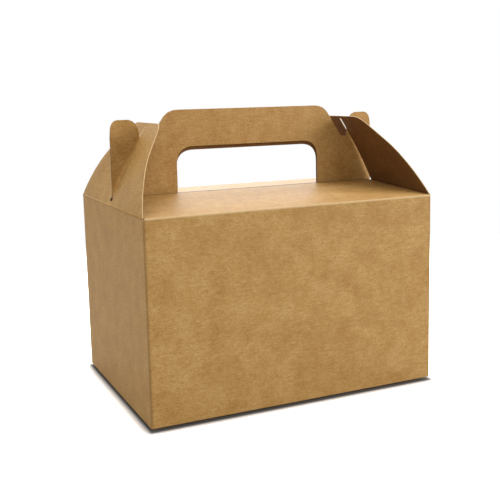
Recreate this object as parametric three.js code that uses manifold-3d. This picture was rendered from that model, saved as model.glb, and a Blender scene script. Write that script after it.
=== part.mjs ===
// Gable box: one sheet of kraft board, cut, creased and folded into a carton with a handle.
// Millimetres, +Z up, the base on z = 0, the long side along X and the handle in the plane y = 0.
import * as THREE from "three";
import { ConvexGeometry } from "three/addons/geometries/ConvexGeometry.js";
import { mergeVertices } from "three/addons/utils/BufferGeometryUtils.js";
import Module from "manifold-3d";

const wasm = await Module();
wasm.setup();

// The board and the folded body.
const BOARD = 0.5;
const LENGTH = 200;
const WIDTH = 144;
const BODY_HEIGHT = 128;
const CORNER_RADIUS = 1.2;
const ROOF_FOLD_RADIUS = 0.8;
const ROOF_RISE = 5;
const CLEARANCE = 0.3;

// The base is two layers of board, the outer one split where its locking flaps meet.
// It bellies down below the walls' lower folds, so the box stands on its middle.
const BASE_BELLY = 2.2;
const BASE_BELLY_INSET = 7;
const BASE_CUT_WIDTH = 0.6;
const BASE_TONGUE_WIDTH = 104;
const BASE_TONGUE_TAPER = 6;
const BASE_TONGUE_REACH = 16;

// The glued lap lies inside, on the right end panel beside the back edge.
const LAP_WIDTH = 15;
const LAP_END_MARGIN = 3;

// The two handle panels stand back to back, pinched together at the ears and bowed apart between.
const HANDLE_RISE = 55;
const EAR_END_INSET = 2.15;
const EAR_RISE = 49.5;
const EAR_NOTCH_DEPTH = 16.7;
const EAR_LAYER_OFFSET = 0.35;
const HANDLE_BOW = 0.9;
const BOW_HALF_LENGTH = 76;
const BACK_PANEL_DROP = 2.5;

// The hand hole reaches from the ridge up to the grip.
const HOLE_HALF_LENGTH = 53;
const HOLE_RISE = 30.6;
const HOLE_CORNER = 12;

// Each end flap leans in from its fold on the end panel and bulges outward.
const FLAP_TOP_INSET = 27.45;
const FLAP_TOP_RISE = 51.5;
const FLAP_LENGTH = 58.9;
const FLAP_SHOULDER = 52;
const FLAP_SHOULDER_HALF_WIDTH = 31.5;
const FLAP_TOP_HALF_WIDTH = 19;
const FLAP_CENTRE_BULGE = 1.4;
const FLAP_EDGE_BULGE = 4;
const FLAP_BULGE_HALF_WIDTH = 45;

// The slot lets the pair of ears through. It is wide at the fold and narrow above the ears.
const SLOT_START = 3;
const SLOT_TAPER_END = 44;
const SLOT_END_MARGIN = 2;
const SLOT_FOOT_HALF_WIDTH = 2.5;

// Sizes that follow from the ones above.
const ridgeHeight = BODY_HEIGHT + ROOF_RISE;
const wallMiddleX = LENGTH / 2 - BOARD / 2;
const wallMiddleY = WIDTH / 2 - BOARD / 2;
const earReach = wallMiddleX - EAR_END_INSET;
const earHalfThickness = EAR_LAYER_OFFSET + BOARD / 2;
const slotHalfWidth = earHalfThickness + CLEARANCE;
const endWallHeight = BODY_HEIGHT - BOARD / 2 - CLEARANCE;
const flapHalfWidth = WIDTH / 2 - BOARD - 2 * CLEARANCE;
const baseThickness = 2 * BOARD;
const slotEnd = FLAP_LENGTH - SLOT_END_MARGIN;

// A closed solid from a three.js geometry, its vertices shared between neighbouring faces.
function solid(geometry) {
  geometry.deleteAttribute("normal");
  geometry.deleteAttribute("uv");
  const merged = mergeVertices(geometry, 1e-4);
  return new wasm.Manifold(new wasm.Mesh({
    numProp: 3,
    vertProperties: new Float32Array(merged.attributes.position.array),
    triVerts: new Uint32Array(merged.index.array),
  }));
}

// An outline of [u, v] points as a three.js shape.
function outline(points) {
  return new THREE.Shape(points.map(([u, v]) => new THREE.Vector2(u, v)));
}

// A shape in the XY plane made into a solid from z = low to z = high.
function upright(shape, low, high) {
  const geometry = new THREE.ExtrudeGeometry(shape, { depth: high - low, bevelEnabled: false, curveSegments: 8 });
  geometry.translate(0, 0, low);
  return solid(geometry);
}

// A shape drawn in X and Z made into a solid between two values of y.
function crosswise(shape, front, back) {
  const geometry = new THREE.ExtrudeGeometry(shape, { depth: back - front, bevelEnabled: false, curveSegments: 10 });
  geometry.rotateX(Math.PI / 2);
  geometry.translate(0, back, 0);
  return solid(geometry);
}

// A rectangle with rounded corners, centred on the origin.
function roundedRectangle(length, width, radius) {
  const x = length / 2;
  const y = width / 2;
  const shape = new THREE.Shape();
  shape.moveTo(-x + radius, -y);
  shape.lineTo(x - radius, -y);
  shape.absarc(x - radius, -y + radius, radius, -Math.PI / 2, 0);
  shape.lineTo(x, y - radius);
  shape.absarc(x - radius, y - radius, radius, 0, Math.PI / 2);
  shape.lineTo(-x + radius, y);
  shape.absarc(-x + radius, y - radius, radius, Math.PI / 2, Math.PI);
  shape.lineTo(-x, -y + radius);
  shape.absarc(-x + radius, -y + radius, radius, Math.PI, 1.5 * Math.PI);
  return shape;
}

// The outline of a band of board that follows a path of [u, v] points.
function bandOutline(path, thickness) {
  const left = [];
  const right = [];
  path.forEach((point, i) => {
    const before = path[Math.max(i - 1, 0)];
    const after = path[Math.min(i + 1, path.length - 1)];
    const du = after[0] - before[0];
    const dv = after[1] - before[1];
    const scale = thickness / 2 / Math.hypot(du, dv);
    left.push([point[0] - dv * scale, point[1] + du * scale]);
    right.unshift([point[0] + dv * scale, point[1] - du * scale]);
  });
  return outline([...left, ...right]);
}

// The four walls, one board thick, with the crease rounding at the upright edges.
function walls() {
  const outside = roundedRectangle(LENGTH, WIDTH, CORNER_RADIUS);
  const inside = roundedRectangle(LENGTH - 2 * BOARD, WIDTH - 2 * BOARD, CORNER_RADIUS - BOARD);
  return upright(outside, BASE_BELLY, endWallHeight).subtract(upright(inside, 0, BODY_HEIGHT));
}

// A dish with upright sides above the lower folds and a flat floor inside its sloping margin.
function dish(thickness) {
  const rim = roundedRectangle(LENGTH - thickness, WIDTH - thickness, CORNER_RADIUS - thickness / 2);
  const floor = roundedRectangle(LENGTH - 2 * BASE_BELLY_INSET, WIDTH - 2 * BASE_BELLY_INSET, CORNER_RADIUS);
  const levels = [
    [rim, BASE_BELLY + thickness + 2 * BOARD], [rim, BASE_BELLY + thickness], [floor, thickness],
  ];
  const points = levels.flatMap(([shape, z]) => shape.getPoints(6).map(({ x, y }) => new THREE.Vector3(x, y, z)));
  return solid(new ConvexGeometry(points));
}

// The base: a dish of two layers with the cut line of its outer flaps.
function base() {
  return dish(0).subtract(dish(baseThickness)).subtract(baseCut());
}

// The cut in the outer base layer: a line along the middle with a tongue that tucks under.
function baseCut() {
  const half = BASE_TONGUE_WIDTH / 2;
  const neck = half - BASE_TONGUE_TAPER;
  const path = [
    [-LENGTH / 2 - 1, 0], [-half, 0], [-neck, BASE_TONGUE_REACH],
    [neck, BASE_TONGUE_REACH], [half, 0], [LENGTH / 2 + 1, 0],
  ];
  return upright(bandOutline(path, BASE_CUT_WIDTH), -1, BOARD);
}

// The glued lap on the inside of the right end panel.
function lap() {
  const back = WIDTH / 2 - BOARD;
  const inner = LENGTH / 2 - 2 * BOARD;
  const shape = outline([
    [inner, back - LAP_WIDTH], [inner + 1.2 * BOARD, back - LAP_WIDTH],
    [inner + 1.2 * BOARD, back], [inner, back],
  ]);
  return upright(shape, BASE_BELLY + baseThickness + LAP_END_MARGIN, endWallHeight - LAP_END_MARGIN);
}

// A roof panel with its fold onto the front wall. It ends in a cut edge beside the flap at each end.
function frontRoof() {
  const radius = ROOF_FOLD_RADIUS - BOARD / 2;
  const foot = [-wallMiddleY, endWallHeight - 2 * BOARD];
  const ridge = [-EAR_LAYER_OFFSET + BOARD / 4, ridgeHeight - BOARD / 2];
  const slope = Math.atan2(ROOF_RISE, WIDTH / 2);
  const bendCentre = [-wallMiddleY + radius, BODY_HEIGHT - BOARD / 2 - radius];
  const path = [foot];
  const steps = 6;
  for (let i = 0; i <= steps; i += 1) {
    const angle = Math.PI - (Math.PI / 2 - slope) * (i / steps);
    path.push([bendCentre[0] + radius * Math.cos(angle), bendCentre[1] + radius * Math.sin(angle)]);
  }
  path.push(ridge);
  const geometry = new THREE.ExtrudeGeometry(bandOutline(path, BOARD), { depth: LENGTH, bevelEnabled: false });
  geometry.rotateX(Math.PI / 2);
  geometry.rotateZ(Math.PI / 2);
  geometry.translate(-LENGTH / 2, 0, 0);
  const endAtWall = LENGTH / 2 - 2 * BOARD;
  const endAtRidge = flapMiddle(ROOF_RISE / flapRisePerLength, 0)[0] - 2 * BOARD - CLEARANCE;
  const plan = outline([[-endAtWall, -WIDTH / 2], [endAtWall, -WIDTH / 2], [endAtRidge, 0], [-endAtRidge, 0]]);
  return solid(geometry).intersect(upright(plan, 0, 2 * BODY_HEIGHT));
}

// Half of the outline of a handle panel, from the ridge round the ear and the notch to the middle.
function handleHalfOutline() {
  const top = ridgeHeight + HANDLE_RISE;
  const earTop = ridgeHeight + EAR_RISE;
  const notch = earTop - EAR_NOTCH_DEPTH;
  return [
    [earReach, ridgeHeight - BOARD], [earReach, earTop - 8.5], [earReach - 0.4, earTop - 4.8],
    [earReach - 1.4, earTop - 2.3], [earReach - 3.1, earTop - 0.6], [earReach - 5.2, earTop],
    [earReach - 12.6, earTop], [earReach - 15.4, earTop - 1.1], [earReach - 17.2, earTop - 2.9],
    [earReach - 18.8, earTop - 6], [earReach - 20, notch + 0.8], [earReach - 20.8, notch],
    [earReach - 24, notch], [earReach - 25, notch + 0.6], [earReach - 28.6, notch + 6.2],
    [earReach - 32.6, top - 9.6], [earReach - 36.4, top - 4.2], [earReach - 39.4, top - 1.6],
    [earReach - 43, top - 0.3], [earReach - 46.5, top],
  ];
}

// The hand hole, square at the ridge and rounded at its upper corners.
function handHole() {
  const foot = ridgeHeight - 2 * BOARD;
  const top = ridgeHeight + HOLE_RISE;
  const shape = new THREE.Shape();
  shape.moveTo(-HOLE_HALF_LENGTH, foot);
  shape.lineTo(HOLE_HALF_LENGTH, foot);
  shape.lineTo(HOLE_HALF_LENGTH, top - HOLE_CORNER);
  shape.quadraticCurveTo(HOLE_HALF_LENGTH, top, HOLE_HALF_LENGTH - HOLE_CORNER, top);
  shape.lineTo(-HOLE_HALF_LENGTH + HOLE_CORNER, top);
  shape.quadraticCurveTo(-HOLE_HALF_LENGTH, top, -HOLE_HALF_LENGTH, top - HOLE_CORNER);
  return shape;
}

// The front handle panel, bowed toward the viewer between the ears.
function handlePanel(drop) {
  const low = ridgeHeight - BOARD;
  const high = ridgeHeight + HANDLE_RISE + BOARD;
  const sheet = new THREE.BoxGeometry(2 * earReach + 2, BOARD, high - low, 72, 1, 1);
  const position = sheet.attributes.position;
  for (let i = 0; i < position.count; i += 1) {
    const share = Math.min(Math.abs(position.getX(i)) / BOW_HALF_LENGTH, 1);
    const bow = HANDLE_BOW * (1 - share * share) ** 2;
    position.setY(i, position.getY(i) - EAR_LAYER_OFFSET - bow);
    position.setZ(i, position.getZ(i) + (low + high) / 2);
  }
  const half = handleHalfOutline();
  const mirrored = half.map(([x, z]) => [-x, z]).reverse();
  const panel = crosswise(outline([...half, ...mirrored]), -WIDTH / 4, WIDTH / 4);
  const hole = crosswise(handHole(), -WIDTH / 4, WIDTH / 4);
  const cut = panel.subtract(hole).translate([0, 0, -drop]);
  return solid(sheet).intersect(cut);
}

const flapChord = Math.hypot(FLAP_TOP_INSET, FLAP_TOP_RISE);
const flapRisePerLength = FLAP_TOP_RISE / flapChord;
const flapInsetPerLength = FLAP_TOP_INSET / flapChord;

// The middle of the right flap's board at a distance from its fold and a place across it, as [x, z].
function flapMiddle(along, across) {
  const share = along / flapChord;
  const edge = Math.min(Math.abs(across) / FLAP_BULGE_HALF_WIDTH, 1);
  const height = FLAP_CENTRE_BULGE + (FLAP_EDGE_BULGE - FLAP_CENTRE_BULGE) * edge * edge;
  const bulge = height * 4 * share * (1 - share);
  return [
    wallMiddleX - flapInsetPerLength * along + flapRisePerLength * bulge,
    BODY_HEIGHT + flapRisePerLength * along + flapInsetPerLength * bulge,
  ];
}

// The flap's cut outline as [across, along] points, without its slot.
function flapOutline() {
  const shape = new THREE.Shape();
  shape.moveTo(-flapHalfWidth, -1);
  shape.lineTo(flapHalfWidth, -1);
  shape.lineTo(flapHalfWidth, 0);
  shape.lineTo(FLAP_SHOULDER_HALF_WIDTH, FLAP_SHOULDER);
  shape.quadraticCurveTo(FLAP_SHOULDER_HALF_WIDTH - 5, FLAP_LENGTH, FLAP_TOP_HALF_WIDTH, FLAP_LENGTH);
  shape.lineTo(-FLAP_TOP_HALF_WIDTH, FLAP_LENGTH);
  shape.quadraticCurveTo(-FLAP_SHOULDER_HALF_WIDTH + 5, FLAP_LENGTH, -FLAP_SHOULDER_HALF_WIDTH, FLAP_SHOULDER);
  shape.lineTo(-flapHalfWidth, 0);
  return shape;
}

// The slot in the middle of the flap.
function slotOutline() {
  return outline([
    [-SLOT_FOOT_HALF_WIDTH, SLOT_START], [SLOT_FOOT_HALF_WIDTH, SLOT_START],
    [slotHalfWidth, SLOT_TAPER_END], [slotHalfWidth, slotEnd],
    [-slotHalfWidth, slotEnd], [-slotHalfWidth, SLOT_TAPER_END],
  ]);
}

// A shape of [across, along] points cut straight through the right flap, square to its chord.
function throughFlap(shape) {
  const reach = 3 * FLAP_EDGE_BULGE;
  const geometry = new THREE.ExtrudeGeometry(shape, { depth: 2 * reach, bevelEnabled: false, curveSegments: 10 });
  geometry.translate(0, 0, -reach);
  const across = new THREE.Vector3(0, 1, 0);
  const along = new THREE.Vector3(-flapInsetPerLength, 0, flapRisePerLength);
  const outward = new THREE.Vector3().crossVectors(across, along);
  geometry.applyMatrix4(new THREE.Matrix4().makeBasis(across, along, outward));
  geometry.translate(wallMiddleX, 0, BODY_HEIGHT);
  return solid(geometry);
}

// The right end flap: a bent sheet cut to its outline, its lower edge on the fold's axis.
function endFlap() {
  const sheet = new THREE.BoxGeometry(BOARD, 2 * flapHalfWidth, FLAP_LENGTH + 1, 1, 36, 14);
  const position = sheet.attributes.position;
  for (let i = 0; i < position.count; i += 1) {
    const outward = position.getX(i);
    const across = position.getY(i);
    const along = position.getZ(i) + (FLAP_LENGTH + 1) / 2;
    const [x, z] = flapMiddle(along, across);
    position.setXYZ(i, x + flapRisePerLength * outward, across, z + flapInsetPerLength * outward);
  }
  return solid(sheet).intersect(throughFlap(flapOutline())).subtract(throughFlap(slotOutline()));
}

// The carton: walls, base, lap, roof panels and handle panels, all one folded sheet.
function carton() {
  const frontHalf = frontRoof().add(handlePanel(0));
  const backHalf = frontRoof().add(handlePanel(BACK_PANEL_DROP)).mirror([0, 1, 0]);
  return walls().add(base()).add(lap()).add(frontHalf).add(backHalf);
}

// A named mesh from a solid, with flat shading along its cut edges.
function meshOf(name, body, material) {
  const data = body.getMesh();
  const geometry = new THREE.BufferGeometry();
  geometry.setAttribute("position", new THREE.BufferAttribute(Float32Array.from(data.vertProperties), 3));
  geometry.setIndex(new THREE.BufferAttribute(Uint32Array.from(data.triVerts), 1));
  geometry.computeVertexNormals();
  const mesh = new THREE.Mesh(geometry, material);
  mesh.name = name;
  return mesh;
}

function kraft(colour) {
  return new THREE.MeshStandardMaterial({ color: colour, roughness: 0.85, metalness: 0 });
}

const rightFlap = endFlap();
const group = new THREE.Group();
group.name = "gable_box";
group.add(meshOf("carton", carton(), kraft("#b48c58")));
group.add(meshOf("flap_right", rightFlap, kraft("#a8835a")));
group.add(meshOf("flap_left", rightFlap.mirror([1, 0, 0]), kraft("#a8835a")));

export default group;
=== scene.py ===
import math

import bmesh
import bpy
from mathutils import Euler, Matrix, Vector


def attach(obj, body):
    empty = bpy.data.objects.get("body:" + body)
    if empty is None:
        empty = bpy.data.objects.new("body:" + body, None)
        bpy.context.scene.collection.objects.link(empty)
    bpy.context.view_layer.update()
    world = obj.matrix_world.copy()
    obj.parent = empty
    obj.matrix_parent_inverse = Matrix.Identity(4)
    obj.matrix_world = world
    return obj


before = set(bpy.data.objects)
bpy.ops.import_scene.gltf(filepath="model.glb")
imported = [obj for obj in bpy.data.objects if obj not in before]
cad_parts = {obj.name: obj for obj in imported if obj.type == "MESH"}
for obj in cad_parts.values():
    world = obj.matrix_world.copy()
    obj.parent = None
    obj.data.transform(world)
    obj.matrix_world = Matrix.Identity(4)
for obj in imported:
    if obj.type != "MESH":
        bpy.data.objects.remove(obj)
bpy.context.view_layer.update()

# The carton is one sheet of kraft board, die-cut, creased and folded up, its handle panels back to back.
# Kraft board is unbleached pulp pressed on a wire: brown and nearly matt, with fine level streaks,
# soft clouds where the fibres lie thicker, and cut edges that show the paler core.
MM = 0.001
BOARD = 0.5
HALF_LENGTH = 100
HALF_WIDTH = 72
FOLD_HEIGHT = 128
RIDGE_HEIGHT = 133
HANDLE_HALF_DEPTH = 2.2
KRAFT = {
    "dark": "#a37637",
    "face": "#b68b4b",
    "pale": "#c69f63",
    # Dark fibres, and the painted shade along the upright corners.
    "crease": "#825a2c",
    # A painted highlight along the long folds under the roof.
    "fold_highlight": "#d6b887",
    # The reverse is multiplied darker: painted shade.
    "reverse": "#9a876c",
    "cut": "#d3b381",
    # Painted shade on the edges of the handle panels.
    "handle_rim_shade": "#705538",
}


def colour(hex_value):
    """A colour written as sRGB hex, as the linear values that a node takes."""
    parts = [int(hex_value[i:i + 2], 16) / 255 for i in (1, 3, 5)]
    return [p / 12.92 if p <= 0.04045 else ((p + 0.055) / 1.055) ** 2.4 for p in parts] + [1.0]


def add(tree, kind, settings=None, **links):
    """A new node of a kind, with its settings, and its inputs fed by values or by other nodes' outputs.

    An input is called by its name, or by i and its number where several have the same name.
    """
    node = tree.nodes.new(kind)
    for name, value in (settings or {}).items():
        setattr(node, name, value)
    for name, value in links.items():
        socket = node.inputs[int(name[1:]) if name[1:].isdigit() else name.replace("_", " ")]
        if isinstance(value, bpy.types.NodeSocket):
            tree.links.new(value, socket)
        else:
            socket.default_value = value
    return node


def kraft_board(name, masks):
    """Uncoated kraft board. masks gives the places where it shows another of its tones, each 0 to 1."""
    material = bpy.data.materials.new(name)
    material.use_nodes = True
    tree = material.node_tree
    tree.nodes.clear()
    lookup = add(tree, "ShaderNodeTexCoord").outputs
    place = add(tree, "ShaderNodeVectorMath", {"operation": "SCALE"},
                i0=lookup["Object"], i3=1 / MM).outputs[0]

    # Level streaks 5 mm long and 0.8 mm high, clouds of 17 mm that break up finely, and a grain of 1 mm.
    streaks_per_mm = (0.2, 0.2, 1.2)
    clouds_per_mm = 0.06
    grains_per_mm = 0.95
    streak_share = 0.38
    grain_share = 0.3
    level = add(tree, "ShaderNodeMapping", Vector=place, Scale=streaks_per_mm).outputs[0]
    streaks = add(tree, "ShaderNodeTexNoise", Vector=level, Scale=1.0,
                  Detail=3.0, Roughness=0.6).outputs[0]
    clouds = add(tree, "ShaderNodeTexNoise", Vector=place, Scale=clouds_per_mm,
                 Detail=7.0, Roughness=0.72).outputs[0]
    grain = add(tree, "ShaderNodeTexNoise", Vector=place, Scale=grains_per_mm,
                Detail=2.0, Roughness=0.5).outputs[0]
    both = add(tree, "ShaderNodeMix", {"data_type": "FLOAT"},
               i0=streak_share, i2=clouds, i3=streaks).outputs[0]
    tone = add(tree, "ShaderNodeMix", {"data_type": "FLOAT"},
               i0=grain_share, i2=both, i3=grain).outputs[0]

    # The board's tones lie close together, about the middle of the pattern.
    middle = 0.5
    spread = 0.126
    ramp = add(tree, "ShaderNodeValToRGB", Fac=tone)
    ramp.color_ramp.elements[0].position = middle - spread
    ramp.color_ramp.elements[0].color = colour(KRAFT["dark"])
    ramp.color_ramp.elements[1].position = middle + spread
    ramp.color_ramp.elements[1].color = colour(KRAFT["pale"])
    ramp.color_ramp.elements.new(middle).color = colour(KRAFT["face"])

    # Dark fibres 3 mm long and a few hundredths of a millimetre thick, drawn 0.6 mm wide so that they show.
    fibres_per_mm = (0.33, 0.33, 1.6)
    fibre_from = 0.64
    fibre_wholly = 0.74
    fibre_strength = 0.42
    fibre_bed = add(tree, "ShaderNodeMapping", Vector=place, Scale=fibres_per_mm).outputs[0]
    fibres = add(tree, "ShaderNodeTexNoise", Vector=fibre_bed, Scale=1.0, Detail=1.0).outputs[0]
    fleck = add(tree, "ShaderNodeMapRange", Value=fibres,
                i1=fibre_from, i2=fibre_wholly, i3=0.0, i4=fibre_strength).outputs[0]
    surface = add(tree, "ShaderNodeMix", {"data_type": "RGBA"},
                  i0=fleck, i6=ramp.outputs[0], i7=colour(KRAFT["crease"])).outputs[2]

    # The reverse is the same board, darkened as painted shade, so its streaks still show; the other tones
    # cover.
    where = masks(tree, place, lookup["Normal"])
    for key, mask in where.items():
        blend = "MULTIPLY" if key == "reverse" else "MIX"
        surface = add(tree, "ShaderNodeMix", {"data_type": "RGBA", "blend_type": blend},
                      i0=mask, i6=surface, i7=colour(KRAFT[key])).outputs[2]

    # Uncoated paper is nearly matt: rougher where the clouds lie thick, and roughest on the reverse.
    thin_cloud = 0.3
    thick_cloud = 0.7
    thin_roughness = 0.52
    thick_roughness = 0.64
    reverse_roughness = 0.85
    rough = add(tree, "ShaderNodeMapRange", Value=clouds,
                i1=thin_cloud, i2=thick_cloud, i3=thin_roughness, i4=thick_roughness).outputs[0]
    if "reverse" in where:
        rough = add(tree, "ShaderNodeMix", {"data_type": "FLOAT"},
                    i0=where["reverse"], i2=rough, i3=reverse_roughness).outputs[0]

    # In equal parts, streaks and grain leave a relief of a tenth of a millimetre, pressed nearly flat.
    grain_part = 0.5
    relief = 0.1 * MM
    pressed = 0.25
    paper_ior = 1.42
    height = add(tree, "ShaderNodeMix", {"data_type": "FLOAT"},
                 i0=grain_part, i2=streaks, i3=grain).outputs[0]
    bump = add(tree, "ShaderNodeBump", Height=height, Strength=pressed, Distance=relief).outputs[0]
    shader = add(tree, "ShaderNodeBsdfPrincipled", Base_Color=surface, Roughness=rough, Normal=bump)
    shader.inputs["IOR"].default_value = paper_ior
    add(tree, "ShaderNodeOutputMaterial", Surface=shader.outputs[0])
    return material


def carton_masks(tree, place, normal):
    """The carton's painted shade on its upright corners, painted highlight on its long folds, reverse
    painted darker as shade, cut roof ends, and handle rims painted dark as shade.
    """
    mirrored = add(tree, "ShaderNodeVectorMath", {"operation": "ABSOLUTE"}, i0=place).outputs[0]
    at = add(tree, "ShaderNodeSeparateXYZ", Vector=mirrored).outputs
    facing = add(tree, "ShaderNodeVectorMath", {"operation": "ABSOLUTE"}, i0=normal).outputs[0]
    turned = add(tree, "ShaderNodeSeparateXYZ", Vector=facing).outputs

    # Each upright corner gets a dark line of painted shade, which fades out 1.5 mm from its middle.
    corner_inset = 0.4
    corner_shade_from = 0.5
    corner_shade_to = 1.5
    corner_shade_strength = 0.45
    corner = (HALF_LENGTH - corner_inset, HALF_WIDTH - corner_inset, 0)
    plan = add(tree, "ShaderNodeVectorMath", {"operation": "MULTIPLY"},
               i0=mirrored, i1=(1, 1, 0)).outputs[0]
    from_corner = add(tree, "ShaderNodeVectorMath", {"operation": "DISTANCE"},
                      i0=plan, i1=corner).outputs["Value"]
    crease = add(tree, "ShaderNodeMapRange", Value=from_corner,
                 i1=corner_shade_from, i2=corner_shade_to, i3=corner_shade_strength, i4=0.0).outputs[0]

    # A pale line is painted along the long folds under the roof: a painted highlight where each fold catches
    # the light.
    fold_inset = 0.3
    highlight_from = 0.4
    highlight_to = 1.1
    highlight_strength = 0.7
    fold = (0, HALF_WIDTH - fold_inset, FOLD_HEIGHT - fold_inset)
    profile = add(tree, "ShaderNodeVectorMath", {"operation": "MULTIPLY"},
                  i0=mirrored, i1=(0, 1, 1)).outputs[0]
    from_fold = add(tree, "ShaderNodeVectorMath", {"operation": "DISTANCE"},
                    i0=profile, i1=fold).outputs["Value"]
    fold_highlight = add(tree, "ShaderNodeMapRange", Value=from_fold,
               i1=highlight_from, i2=highlight_to, i3=highlight_strength, i4=0.0).outputs[0]

    # The reverse, darkened as painted shade, is what faces the middle of the box up to the ridge, and what
    # faces the plane between the handle panels.
    middle = (0, 0, FOLD_HEIGHT / 2)
    inward_by = -0.05
    from_middle = add(tree, "ShaderNodeVectorMath", {"operation": "SUBTRACT"},
                      i0=place, i1=middle).outputs[0]
    outward = add(tree, "ShaderNodeVectorMath", {"operation": "DOT_PRODUCT"},
                  i0=normal, i1=from_middle).outputs["Value"]
    inward = add(tree, "ShaderNodeMath", {"operation": "LESS_THAN"}, i0=outward, i1=0.0).outputs[0]
    enclosed = add(tree, "ShaderNodeMath", {"operation": "LESS_THAN"},
                   i0=at[2], i1=RIDGE_HEIGHT + BOARD).outputs[0]
    inside = add(tree, "ShaderNodeMath", {"operation": "MULTIPLY"}, i0=inward, i1=enclosed).outputs[0]
    sideways = add(tree, "ShaderNodeVectorMath", {"operation": "MULTIPLY"},
                   i0=place, i1=(0, 1, 0)).outputs[0]
    away = add(tree, "ShaderNodeVectorMath", {"operation": "DOT_PRODUCT"},
               i0=normal, i1=sideways).outputs["Value"]
    between = add(tree, "ShaderNodeMath", {"operation": "LESS_THAN"}, i0=away, i1=inward_by).outputs[0]
    reverse = add(tree, "ShaderNodeMath", {"operation": "MAXIMUM"}, i0=inside, i1=between).outputs[0]

    # Above the folds, what faces the ends is cut board, and the edges of the handle panels are painted dark
    # as shade.
    end_facing = 0.7
    edge_facing = 0.5
    above = add(tree, "ShaderNodeMath", {"operation": "GREATER_THAN"},
                i0=at[2], i1=FOLD_HEIGHT + BOARD).outputs[0]
    roof_end = add(tree, "ShaderNodeMath", {"operation": "GREATER_THAN"},
                   i0=turned[0], i1=end_facing).outputs[0]
    cut = add(tree, "ShaderNodeMath", {"operation": "MULTIPLY"}, i0=roof_end, i1=above).outputs[0]
    in_handle = add(tree, "ShaderNodeMath", {"operation": "LESS_THAN"},
                    i0=at[1], i1=HANDLE_HALF_DEPTH).outputs[0]
    edge_on = add(tree, "ShaderNodeMath", {"operation": "LESS_THAN"},
                  i0=turned[1], i1=edge_facing).outputs[0]
    handle_edge = add(tree, "ShaderNodeMath", {"operation": "MULTIPLY"}, i0=in_handle, i1=edge_on).outputs[0]
    handle_rim_shade = add(tree, "ShaderNodeMath", {"operation": "MULTIPLY"}, i0=handle_edge, i1=above).outputs[0]
    return {"crease": crease, "fold_highlight": fold_highlight, "reverse": reverse, "cut": cut, "handle_rim_shade": handle_rim_shade}


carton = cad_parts["carton"]
carton.data.materials.clear()
carton.data.materials.append(kraft_board("kraft_board", carton_masks))

# The two end flaps are die-cut from the same sheet, and hinge on a crease along the end panel's top.
# Each is bent over the handle's ears, so it stands under tension with its outer side bulged.
# Outside it is the same board; its inner side is the sheet's rougher reverse, painted darker as shade.
SIDES = {"flap_left": -1, "flap_right": 1}
# The right flap's outer side faces this way, outward and a little up, because the flap leans in.
# A surface that faces it by less than EDGE_ON, front or back, is one of the flap's cut edges.
LEAN = (0.8825, 0, 0.4704)
EDGE_ON = 0.6


def flap_masks(side):
    """The reverse and the cut edges of a flap; side is 1 for the right one and -1 for the left."""
    def masks(tree, place, normal):
        outward = (LEAN[0] * side, 0, LEAN[2])
        facing = add(tree, "ShaderNodeVectorMath", {"operation": "DOT_PRODUCT"},
                     i0=normal, i1=outward).outputs["Value"]
        size = add(tree, "ShaderNodeMath", {"operation": "ABSOLUTE"}, i0=facing).outputs[0]
        cut = add(tree, "ShaderNodeMath", {"operation": "LESS_THAN"}, i0=size, i1=EDGE_ON).outputs[0]
        # The reverse is painted darker, as shade.
        reverse = add(tree, "ShaderNodeMath", {"operation": "LESS_THAN"}, i0=facing, i1=-EDGE_ON).outputs[0]
        return {"reverse": reverse, "cut": cut}
    return masks


for node, side in SIDES.items():
    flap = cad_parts[node]
    flap.data.materials.clear()
    flap.data.materials.append(kraft_board("kraft_board_" + node, flap_masks(side)))

# The crease that each flap turns on: the board is crushed to a low round bead along the fold line.
# Its face isn't broken, so it is as brown and matt as the board beside it. It bridges the end panel
# and the flap, and being round about the fold it looks whole at any angle.
BEAD_RADIUS = 0.5
BEAD_HALF_LENGTH = 70.9
BEAD_SIDES = 16
BEAD_REACH = HALF_LENGTH - BOARD / 2
for node, side in SIDES.items():
    bead_mesh = bpy.data.meshes.new("crease_" + node)
    shape = bmesh.new()
    bmesh.ops.create_cone(shape, cap_ends=True, segments=BEAD_SIDES, radius1=BEAD_RADIUS * MM,
                          radius2=BEAD_RADIUS * MM, depth=2 * BEAD_HALF_LENGTH * MM)
    bmesh.ops.rotate(shape, verts=shape.verts, matrix=Euler((math.pi / 2, 0, 0)).to_matrix())
    bmesh.ops.translate(shape, verts=shape.verts, vec=(side * BEAD_REACH * MM, 0, FOLD_HEIGHT * MM))
    bmesh.ops.recalc_face_normals(shape, faces=shape.faces)
    # The round side is smooth, and the two ends stay flat.
    for face in shape.faces:
        face.smooth = len(face.verts) == 4
    shape.to_mesh(bead_mesh)
    shape.free()
    bead = bpy.data.objects.new("crease_" + node, bead_mesh)
    bpy.context.collection.objects.link(bead)
    bead_mesh.materials.append(kraft_board("creased_kraft_" + node, lambda tree, place, normal: {}))
    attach(bead, node)

# The white paper floor that the box stands on. It isn't part of the object.
# To the camera it is plain white, and painted dark as shade only under the box and within 8 mm of its foot,
# where the box keeps the light off it. To all other rays it is an even pale grey.
FLOOR_REACH = 6
PAPER_GREY = 0.7
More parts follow.
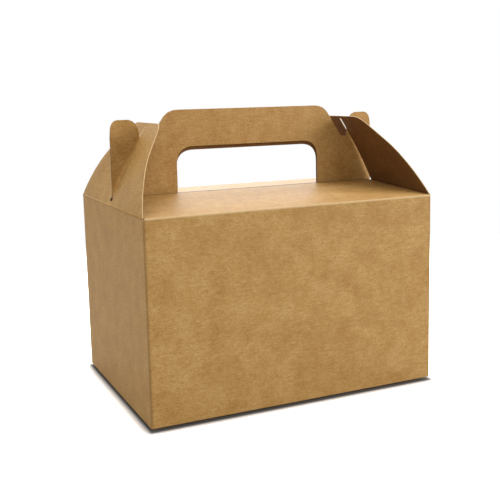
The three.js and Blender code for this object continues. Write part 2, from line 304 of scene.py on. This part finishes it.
# The floor's colour at the box's foot: painted shade.
PAINTED_SHADE_AT_FOOT = 0.22
PAPER_CLEAR = 3.3
SHADE_REACH = 0.008
WHITE_FROM = 0.2
WHITE_WHOLLY = 0.5
floor_mesh = bpy.data.meshes.new("floor")
corners = [(x * FLOOR_REACH, y * FLOOR_REACH, 0) for x, y in ((-1, -1), (1, -1), (1, 1), (-1, 1))]
floor_mesh.from_pydata(corners, [], [(0, 1, 2, 3)])
floor = bpy.data.objects.new("floor", floor_mesh)
bpy.context.collection.objects.link(floor)
floor_paper = bpy.data.materials.new("white_floor_paper")
floor_paper.use_nodes = True
floor_tree = floor_paper.node_tree
floor_tree.nodes.clear()
seen = add(floor_tree, "ShaderNodeLightPath").outputs["Is Camera Ray"]
spot = add(floor_tree, "ShaderNodeTexCoord").outputs["Object"]
quarter = add(floor_tree, "ShaderNodeVectorMath", {"operation": "ABSOLUTE"}, i0=spot).outputs[0]
footprint = (HALF_LENGTH * MM, HALF_WIDTH * MM, 0)
beyond = add(floor_tree, "ShaderNodeVectorMath", {"operation": "SUBTRACT"},
             i0=quarter, i1=footprint).outputs[0]
outside = add(floor_tree, "ShaderNodeVectorMath", {"operation": "MAXIMUM"},
              i0=beyond, i1=(0, 0, 0)).outputs[0]
gap = add(floor_tree, "ShaderNodeVectorMath", {"operation": "LENGTH"}, i0=outside).outputs["Value"]
bright = add(floor_tree, "ShaderNodeMapRange", Value=gap,
             i1=0.0, i2=SHADE_REACH, i3=PAINTED_SHADE_AT_FOOT, i4=PAPER_CLEAR).outputs[0]
grey = add(floor_tree, "ShaderNodeMix", {"data_type": "FLOAT"},
           i0=seen, i2=PAPER_GREY, i3=bright).outputs[0]
paper = add(floor_tree, "ShaderNodeBsdfDiffuse", Color=grey).outputs[0]
glow = add(floor_tree, "ShaderNodeEmission", Color=(1, 1, 1, 1), Strength=1.0).outputs[0]
far = add(floor_tree, "ShaderNodeMapRange", Value=gap,
          i1=WHITE_FROM, i2=WHITE_WHOLLY, i3=0.0, i4=1.0).outputs[0]
shown_far = add(floor_tree, "ShaderNodeMath", {"operation": "MULTIPLY"}, i0=far, i1=seen).outputs[0]
laid = add(floor_tree, "ShaderNodeMixShader", i0=shown_far, i1=paper, i2=glow).outputs[0]
add(floor_tree, "ShaderNodeOutputMaterial", Surface=laid)
floor_mesh.materials.append(floor_paper)

# White surroundings: plain white to the camera and in reflections, and a low even light elsewhere.
WORLD_FILL = 0.1
world = bpy.data.worlds.new("white_studio")
bpy.context.scene.world = world
world.use_nodes = True
world_tree = world.node_tree
world_tree.nodes.clear()
path = add(world_tree, "ShaderNodeLightPath").outputs
shown = add(world_tree, "ShaderNodeMath", {"operation": "MAXIMUM"},
            i0=path["Is Camera Ray"], i1=path["Is Glossy Ray"]).outputs[0]
clear = add(world_tree, "ShaderNodeMath", {"operation": "MAXIMUM"},
            i0=shown, i1=path["Is Transmission Ray"]).outputs[0]
strength = add(world_tree, "ShaderNodeMapRange", Value=clear, i3=WORLD_FILL, i4=1.0).outputs[0]
backdrop = add(world_tree, "ShaderNodeBackground", Color=(1, 1, 1, 1), Strength=strength).outputs[0]
add(world_tree, "ShaderNodeOutputWorld", Surface=backdrop)

# Square softboxes, each with its place and its width in metres and its power in watts.
# The two overhead and behind light the roof, the two on the right the right side and the front,
# and the two on the left fill the front and the left end.
AIM = Vector((0, 0, 0.1))
for name, place, size, power in (
    ("light_overhead", (0.05, 0.3, 1.15), 1.0, 12.5),
    ("light_behind", (0.5, 1.3, 0.5), 1.2, 14.0),
    ("light_right", (1.2, -0.5, 0.6), 0.8, 10.0),
    ("light_front", (0.85, -1.15, 0.45), 0.7, 5.5),
    ("light_front_left", (-0.5, -1.3, 0.5), 0.8, 3.0),
    ("light_left", (-1.2, -0.2, 0.35), 0.7, 2.8),
):
    lamp = bpy.data.lights.new(name, "AREA")
    lamp.size = size
    lamp.energy = power
    holder = bpy.data.objects.new(name, lamp)
    bpy.context.collection.objects.link(holder)
    holder.location = place
    holder.rotation_euler = (AIM - Vector(place)).to_track_quat("-Z", "Y").to_euler()

# The camera stands where the photograph was taken from, in front and to the left, a little above the handle.
# Its shift frames the box as the photograph does.
lens = bpy.data.cameras.new("camera")
lens.lens = 60.695
lens.sensor_width = 36
lens.shift_y = -0.06
camera = bpy.data.objects.new("camera", lens)
bpy.context.collection.objects.link(camera)
camera.location = (-0.24082, -0.52975, 0.19786)
camera.rotation_euler = Euler([math.radians(a) for a in (81.419, 1.291, -24.614)])
bpy.context.scene.camera = camera
bpy.context.scene.view_settings.view_transform = "Standard"
